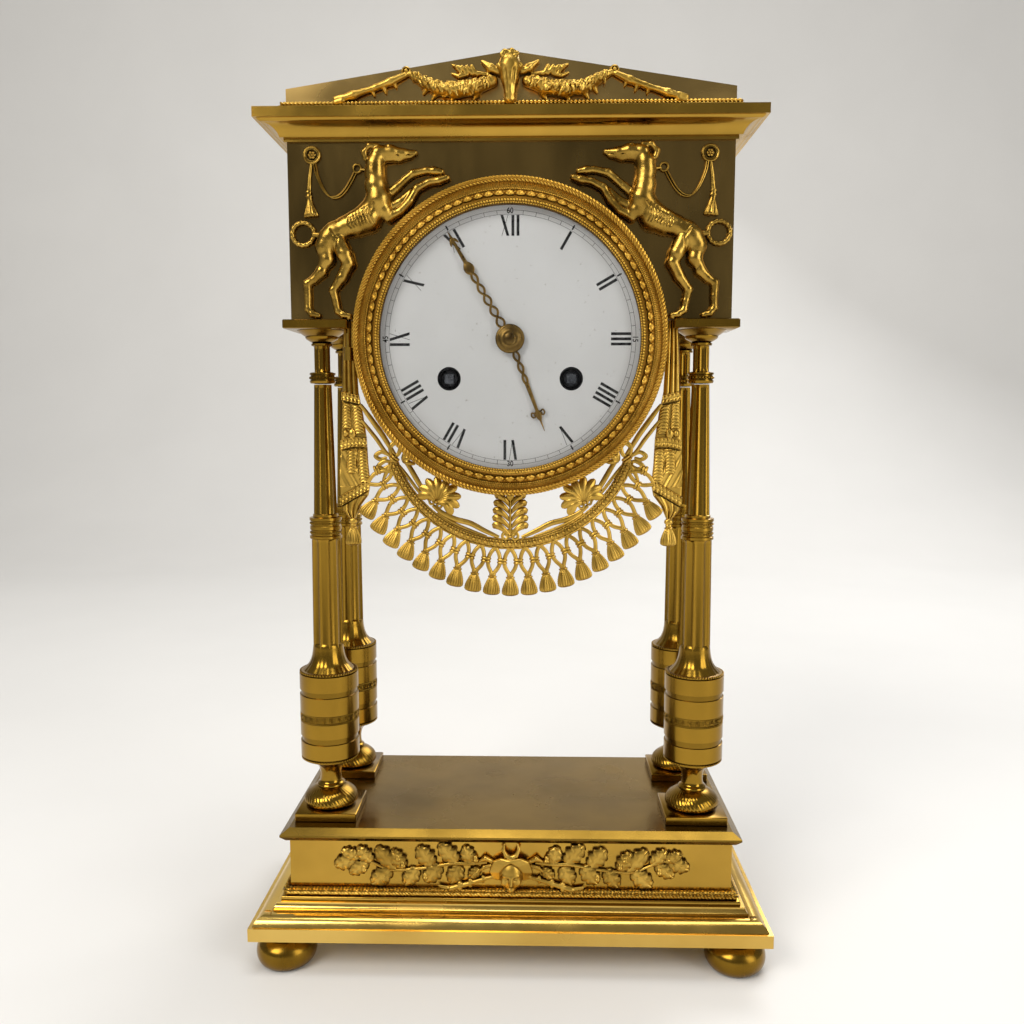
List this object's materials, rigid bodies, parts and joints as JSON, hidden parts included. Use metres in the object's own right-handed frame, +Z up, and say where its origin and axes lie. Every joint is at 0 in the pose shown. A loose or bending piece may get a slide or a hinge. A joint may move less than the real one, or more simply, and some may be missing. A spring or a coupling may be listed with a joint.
{
  "type": "portico mantel clock",
  "caption": "Gilt portico mantel clock: a drum movement with enamel dial hung in a pedimented entablature on banded columns over a moulded base with bun feet.",
  "frame": {"origin": "middle of the rectangle under the feet, at the surface that the clock stands on", "axes": "+X to the right seen from the front, +Y to the rear, +Z up; the dial faces -Y"},
  "size_m": [0.21, 0.11, 0.364],
  "materials": {
    "gilt_brass": "mercury gilding, worn, satin with burnished mouldings",
    "plain_brass": "plain polished brass",
    "bell_metal": "pale bell metal",
    "steel": "dark polished steel",
    "enamel": "white vitreous enamel",
    "glass": "clear bevelled glass"
  },
  "bodies": {
    "case": {"back_plate": "plain_brass", "base_frieze": "gilt_brass", "base_plinth": "gilt_brass", "base_rope": "gilt_brass", "base_top": "gilt_brass", "bell": "bell_metal", "column_bases": "gilt_brass", "column_capitals": "gilt_brass", "column_shafts": "gilt_brass", "cornice": "gilt_brass", "dial": "enamel", "drum_case": "plain_brass", "entablature_case": "gilt_brass", "feet": "gilt_brass", "festoon": "gilt_brass", "frieze_mount": "gilt_brass", "front_plate": "plain_brass", "hound_left": "gilt_brass", "hound_right": "gilt_brass", "pediment": "gilt_brass", "pediment_mount": "gilt_brass", "pediment_rope": "gilt_brass", "plate_pillars": "plain_brass", "rear_ring": "plain_brass", "side_drapes": "gilt_brass", "suspension_cock": "plain_brass"},
    "bezel_door": {"bezel": "gilt_brass", "bezel_glass": "glass"},
    "back_door": {"back_door": "plain_brass"},
    "centre": {"centre_arbor": "plain_brass", "minute_hand": "gilt_brass"},
    "hour": {"hour_wheel": "plain_brass", "hour_hand": "gilt_brass"},
    "minute_wheel": {"minute_wheel": "plain_brass"},
    "intermediate": {"intermediate_wheel": "plain_brass"},
    "third": {"third_wheel": "plain_brass"},
    "escape": {"escape_wheel": "plain_brass"},
    "anchor": {"anchor": "steel"},
    "pendulum": {"pendulum": "plain_brass"},
    "going_barrel": {"going_barrel": "plain_brass"},
    "going_arbor": {"going_arbor": "steel"},
    "strike_barrel": {"strike_barrel": "plain_brass"},
    "strike_arbor": {"strike_arbor": "steel"},
    "strike_wheel": {"strike_wheel": "plain_brass"},
    "hammer": {"hammer": "steel"}
  },
  "joints": [
    {"name": "bezel_hinge", "type": "hinge", "parent": "case", "child": "bezel_door", "pos_m": [-0.0637, -0.0369, 0.2548], "axis": [0, 0, -1], "range_deg": [0, 105]},
    {"name": "back_door_hinge", "type": "hinge", "parent": "case", "child": "back_door", "pos_m": [-0.0637, 0.0363, 0.2548], "axis": [0, 0, 1], "range_deg": [0, 110]},
    {"name": "centre_spin", "type": "hinge", "parent": "case", "child": "centre", "pos_m": [0, 0, 0.2548], "axis": [0, 1, 0], "continuous": true},
    {"name": "hour_spin", "type": "hinge", "parent": "case", "child": "hour", "pos_m": [0, 0, 0.2548], "axis": [0, 1, 0], "continuous": true},
    {"name": "minute_wheel_spin", "type": "hinge", "parent": "case", "child": "minute_wheel", "pos_m": [0, 0, 0.2668], "axis": [0, 1, 0], "continuous": true},
    {"name": "intermediate_spin", "type": "hinge", "parent": "case", "child": "intermediate", "pos_m": [0.00193, 0, 0.2369], "axis": [0, 1, 0], "continuous": true},
    {"name": "third_spin", "type": "hinge", "parent": "case", "child": "third", "pos_m": [0.00987, 0, 0.26898], "axis": [0, 1, 0], "continuous": true},
    {"name": "escape_spin", "type": "hinge", "parent": "case", "child": "escape", "pos_m": [0, 0, 0.2788], "axis": [0, 1, 0], "continuous": true},
    {"name": "going_barrel_spin", "type": "hinge", "parent": "case", "child": "going_barrel", "pos_m": [0.0242, 0, 0.2393], "axis": [0, 1, 0], "continuous": true},
    {"name": "pendulum_swing", "type": "hinge", "parent": "case", "child": "pendulum", "pos_m": [0, 0, 0.2948], "axis": [0, 1, 0], "range_deg": [-5, 5]},
    {"name": "anchor_rock", "type": "hinge", "parent": "case", "child": "anchor", "pos_m": [0, 0, 0.2948], "axis": [0, 1, 0], "range_deg": [-5, 5]},
    {"name": "going_winding", "type": "hinge", "parent": "case", "child": "going_arbor", "pos_m": [0.0242, 0, 0.2393], "axis": [0, 1, 0], "continuous": true},
    {"name": "strike_barrel_spin", "type": "hinge", "parent": "case", "child": "strike_barrel", "pos_m": [-0.0242, 0, 0.2393], "axis": [0, 1, 0], "continuous": true},
    {"name": "strike_wheel_spin", "type": "hinge", "parent": "case", "child": "strike_wheel", "pos_m": [-0.03, 0, 0.26094], "axis": [0, 1, 0], "continuous": true},
    {"name": "strike_winding", "type": "hinge", "parent": "case", "child": "strike_arbor", "pos_m": [-0.0242, 0, 0.2393], "axis": [0, 1, 0], "continuous": true},
    {"name": "hammer_swing", "type": "hinge", "parent": "case", "child": "hammer", "pos_m": [-0.022, 0, 0.2168], "axis": [0, 1, 0], "range_deg": [-12, 0]}
  ],
  "couplings": [
    {"joint": "hour_spin", "follows": "centre_spin", "ratio": 0.083333},
    {"joint": "minute_wheel_spin", "follows": "centre_spin", "ratio": -0.33333},
    {"joint": "third_spin", "follows": "centre_spin", "ratio": -5},
    {"joint": "escape_spin", "follows": "centre_spin", "ratio": 25},
    {"joint": "intermediate_spin", "follows": "centre_spin", "ratio": -0.2},
    {"joint": "going_barrel_spin", "follows": "centre_spin", "ratio": 0.05},
    {"joint": "strike_wheel_spin", "follows": "strike_barrel_spin", "ratio": -4},
    {"joint": "anchor_rock", "follows": "pendulum_swing", "ratio": 1}
  ]
}
